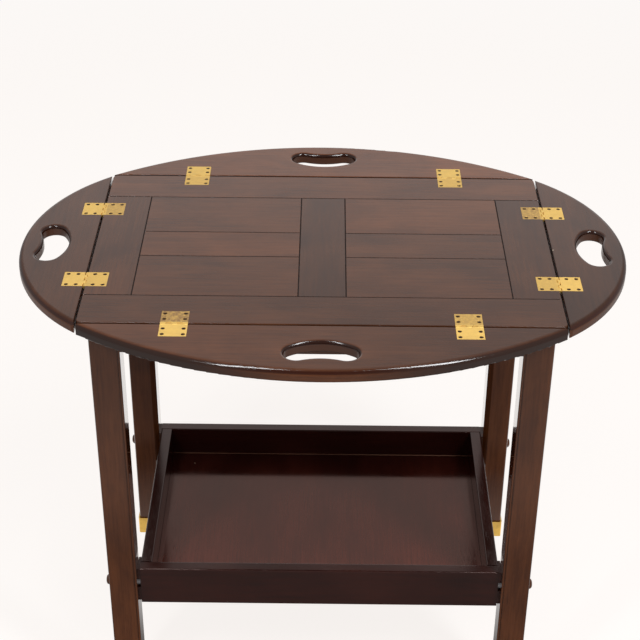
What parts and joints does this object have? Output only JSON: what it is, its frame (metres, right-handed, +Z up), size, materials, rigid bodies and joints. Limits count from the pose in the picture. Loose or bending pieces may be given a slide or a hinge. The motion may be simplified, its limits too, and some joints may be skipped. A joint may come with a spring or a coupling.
{
  "type": "tea trolley",
  "caption": "Wooden tea trolley with an oval lift-off tray top, fold-up flaps with hand-holes on flush brass hinges, square legs, a lower tray and swivel castors.",
  "frame": {"origin": "on the floor, under the middle of the top", "axes": "+X along the trolley's length, +Y from the front to the back, +Z up"},
  "size_m": [0.893, 0.665, 0.74],
  "materials": {
    "top_wood": "satin lacquered dark mahogany",
    "base_wood": "satin lacquered dark mahogany",
    "hinge_brass": "brushed yellow brass",
    "castor_brass": "polished cast brass",
    "steel": "plain steel"
  },
  "bodies": {
    "base": {"leg_front_left": "base_wood", "leg_front_right": "base_wood", "leg_back_left": "base_wood", "leg_back_right": "base_wood", "apron_front": "base_wood", "apron_back": "base_wood", "apron_left": "base_wood", "apron_right": "base_wood", "corner_blocks": "base_wood", "shelf_wall_front": "base_wood", "shelf_wall_back": "base_wood", "shelf_wall_left": "base_wood", "shelf_wall_right": "base_wood", "shelf_floor": "base_wood", "shelf_screws": "steel", "shelf_spacers": "steel", "screw_buttons": "base_wood", "castor_cup_front_left": "castor_brass", "castor_cup_front_right": "castor_brass", "castor_cup_back_left": "castor_brass", "castor_cup_back_right": "castor_brass"},
    "tray": {"tray_rail_front": "top_wood", "tray_rail_back": "top_wood", "tray_stile_left": "top_wood", "tray_stile_right": "top_wood", "tray_muntin": "top_wood", "board_left_front": "top_wood", "board_left_middle": "top_wood", "board_left_back": "top_wood", "board_right_front": "top_wood", "board_right_middle": "top_wood", "board_right_back": "top_wood", "batten_left": "base_wood", "batten_right": "base_wood", "batten_screws": "steel", "hinge_tray_leaves": "hinge_brass", "hinge_pins": "hinge_brass", "hinge_springs": "steel"},
    "flap_front": {"flap_front": "top_wood", "hinge_leaves_front": "hinge_brass"},
    "flap_right": {"flap_right": "top_wood", "hinge_leaves_right": "hinge_brass"},
    "flap_back": {"flap_back": "top_wood", "hinge_leaves_back": "hinge_brass"},
    "flap_left": {"flap_left": "top_wood", "hinge_leaves_left": "hinge_brass"},
    "castor_front_left": {"castor_fork_front_left": "castor_brass", "castor_axle_front_left": "steel"},
    "wheel_front_left": {"castor_wheel_front_left": "castor_brass"},
    "castor_front_right": {"castor_fork_front_right": "castor_brass", "castor_axle_front_right": "steel"},
    "wheel_front_right": {"castor_wheel_front_right": "castor_brass"},
    "castor_back_left": {"castor_fork_back_left": "castor_brass", "castor_axle_back_left": "steel"},
    "wheel_back_left": {"castor_wheel_back_left": "castor_brass"},
    "castor_back_right": {"castor_fork_back_right": "castor_brass", "castor_axle_back_right": "steel"},
    "wheel_back_right": {"castor_wheel_back_right": "castor_brass"}
  },
  "joints": [
    {"name": "tray_lift", "type": "slide", "parent": "base", "child": "tray", "axis": [0, 0, 1], "range_m": [0, 0.15]},
    {"name": "front_flap_fold", "type": "hinge", "parent": "tray", "child": "flap_front", "pos_m": [0, -0.22, 0.7382], "axis": [-1, 0, 0], "range_deg": [0, 90]},
    {"name": "right_flap_fold", "type": "hinge", "parent": "tray", "child": "flap_right", "pos_m": [0.337, 0, 0.7382], "axis": [0, -1, 0], "range_deg": [0, 90]},
    {"name": "back_flap_fold", "type": "hinge", "parent": "tray", "child": "flap_back", "pos_m": [0, 0.22, 0.7382], "axis": [1, 0, 0], "range_deg": [0, 90]},
    {"name": "left_flap_fold", "type": "hinge", "parent": "tray", "child": "flap_left", "pos_m": [-0.337, 0, 0.7382], "axis": [0, 1, 0], "range_deg": [0, 90]},
    {"name": "front_left_swivel", "type": "hinge", "parent": "base", "child": "castor_front_left", "pos_m": [-0.3025, -0.1795, 0.04], "axis": [0, 0, 1], "continuous": true},
    {"name": "front_left_roll", "type": "hinge", "parent": "castor_front_left", "child": "wheel_front_left", "pos_m": [-0.3025, -0.1655, 0.019], "axis": [1, 0, 0], "continuous": true},
    {"name": "front_right_swivel", "type": "hinge", "parent": "base", "child": "castor_front_right", "pos_m": [0.3025, -0.1795, 0.04], "axis": [0, 0, 1], "continuous": true},
    {"name": "front_right_roll", "type": "hinge", "parent": "castor_front_right", "child": "wheel_front_right", "pos_m": [0.3025, -0.1655, 0.019], "axis": [1, 0, 0], "continuous": true},
    {"name": "back_left_swivel", "type": "hinge", "parent": "base", "child": "castor_back_left", "pos_m": [-0.3025, 0.1795, 0.04], "axis": [0, 0, 1], "continuous": true},
    {"name": "back_left_roll", "type": "hinge", "parent": "castor_back_left", "child": "wheel_back_left", "pos_m": [-0.3025, 0.1935, 0.019], "axis": [1, 0, 0], "continuous": true},
    {"name": "back_right_swivel", "type": "hinge", "parent": "base", "child": "castor_back_right", "pos_m": [0.3025, 0.1795, 0.04], "axis": [0, 0, 1], "continuous": true},
    {"name": "back_right_roll", "type": "hinge", "parent": "castor_back_right", "child": "wheel_back_right", "pos_m": [0.3025, 0.1935, 0.019], "axis": [1, 0, 0], "continuous": true}
  ]
}
